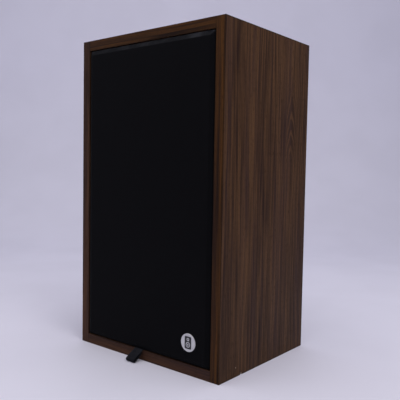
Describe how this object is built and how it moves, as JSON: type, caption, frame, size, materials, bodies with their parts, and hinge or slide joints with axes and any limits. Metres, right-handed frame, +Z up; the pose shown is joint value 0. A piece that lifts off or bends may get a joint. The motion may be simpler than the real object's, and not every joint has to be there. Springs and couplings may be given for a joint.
{
  "type": "bookshelf speaker",
  "caption": "Upright two-way loudspeaker in a walnut woodgrain cabinet, with a lift-off bevelled black cloth grille, a round badge, a webbing pull tab and push terminals at the back.",
  "frame": {"origin": "centre of the cabinet's underside, on the surface it stands on", "axes": "+Z up, -Y out of the grille, +X to the right seen from the front"},
  "size_m": [0.356, 0.308, 0.61],
  "materials": {
    "walnut_vinyl": "satin walnut woodgrain",
    "edge_tape": "satin walnut edge tape",
    "black_board": "matt black paint on fibreboard",
    "back_board": "matt dark stain on fibreboard",
    "grille_cloth": "black open-weave acoustic cloth",
    "webbing": "black woven webbing",
    "silver_badge": "brushed silver",
    "black_plastic": "matt black moulded plastic",
    "red_plastic": "red moulded plastic",
    "lever_black": "black moulded plastic",
    "gasket": "matt black foam",
    "basket_steel": "satin black paint on stamped steel",
    "zinc_plate": "zinc-plated steel",
    "screw_zinc": "black oxide steel",
    "ferrite": "matt grey ferrite",
    "cone_paper": "felted black paper",
    "former": "amber film",
    "copper": "enamelled copper wire",
    "surround_foam": "matt black foam",
    "spider_cloth": "impregnated yellow-brown cloth",
    "dome_silk": "coated black silk",
    "contact_brass": "bright brass",
    "crossover_board": "brown hardboard",
    "capacitor": "blue plastic sleeve",
    "cable": "black insulation",
    "wadding": "off-white polyester wadding"
  },
  "bodies": {
    "cabinet": {"side_panel_right": "walnut_vinyl", "side_panel_left": "walnut_vinyl", "bottom_panel": "walnut_vinyl", "top_panel": "walnut_vinyl", "edge_tape_left": "edge_tape", "edge_tape_right": "edge_tape", "edge_tape_bottom": "edge_tape", "edge_tape_top": "edge_tape", "front_baffle": "black_board", "grille_socket_1": "black_plastic", "grille_socket_2": "black_plastic", "grille_socket_3": "black_plastic", "grille_socket_4": "black_plastic", "back_panel": "back_board", "damping_wadding": "wadding", "woofer_gasket": "gasket", "woofer_basket": "basket_steel", "woofer_top_plate": "zinc_plate", "woofer_magnet": "ferrite", "woofer_back_plate": "zinc_plate", "woofer_surround": "surround_foam", "woofer_spider": "spider_cloth", "woofer_tag_strip": "crossover_board", "woofer_screw_1": "screw_zinc", "woofer_screw_2": "screw_zinc", "woofer_screw_3": "screw_zinc", "woofer_screw_4": "screw_zinc", "tweeter_faceplate": "black_plastic", "tweeter_top_plate": "zinc_plate", "tweeter_magnet": "ferrite", "tweeter_back_plate": "zinc_plate", "tweeter_screw_1": "screw_zinc", "tweeter_screw_2": "screw_zinc", "tweeter_screw_3": "screw_zinc", "tweeter_screw_4": "screw_zinc", "terminal_cup": "black_plastic", "terminal_clip_red": "contact_brass", "terminal_clip_black": "contact_brass", "crossover_board": "crossover_board", "crossover_inductor": "copper", "crossover_capacitor": "capacitor", "input_cable": "cable", "woofer_cable": "cable", "tweeter_cable": "cable"},
    "grille": {"grille_frame": "black_board", "grille_cloth": "grille_cloth", "grille_badge": "silver_badge", "grille_peg_1": "black_plastic", "grille_peg_2": "black_plastic", "grille_peg_3": "black_plastic", "grille_peg_4": "black_plastic"},
    "tab": {"pull_tab": "webbing"},
    "woofer_diaphragm": {"woofer_cone": "cone_paper", "woofer_dust_cap": "cone_paper", "woofer_coil_former": "former", "woofer_voice_coil": "copper"},
    "tweeter_diaphragm": {"tweeter_dome": "dome_silk", "tweeter_voice_coil": "copper"},
    "red_lever": {"terminal_lever_red": "red_plastic"},
    "black_lever": {"terminal_lever_black": "lever_black"}
  },
  "joints": [
    {"name": "grille_pull", "type": "slide", "parent": "cabinet", "child": "grille", "axis": [0, -1, 0], "range_m": [0, 0.06]},
    {"name": "tab_flip", "type": "hinge", "parent": "grille", "child": "tab", "pos_m": [-0.011, -0.1405, 0.02015], "axis": [-1, 0, 0], "range_deg": [-4, 90], "stiffness_Nm_per_rad": 0.01},
    {"name": "woofer_excursion", "type": "slide", "parent": "cabinet", "child": "woofer_diaphragm", "axis": [0, -1, 0], "range_m": [-0.005, 0.005], "stiffness_N_per_m": 1500, "deforming": ["woofer_surround", "woofer_spider"]},
    {"name": "tweeter_excursion", "type": "slide", "parent": "cabinet", "child": "tweeter_diaphragm", "axis": [0, -1, 0], "range_m": [-0.00025, 0.00025], "stiffness_N_per_m": 800},
    {"name": "red_lever_push", "type": "hinge", "parent": "cabinet", "child": "red_lever", "pos_m": [-0.0135, 0.13, 0.1615], "axis": [-1, 0, 0], "range_deg": [0, 14], "stiffness_Nm_per_rad": 0.13, "springref_deg": -11.46},
    {"name": "black_lever_push", "type": "hinge", "parent": "cabinet", "child": "black_lever", "pos_m": [0.0135, 0.13, 0.1615], "axis": [-1, 0, 0], "range_deg": [0, 14], "stiffness_Nm_per_rad": 0.13, "springref_deg": -11.46}
  ]
}
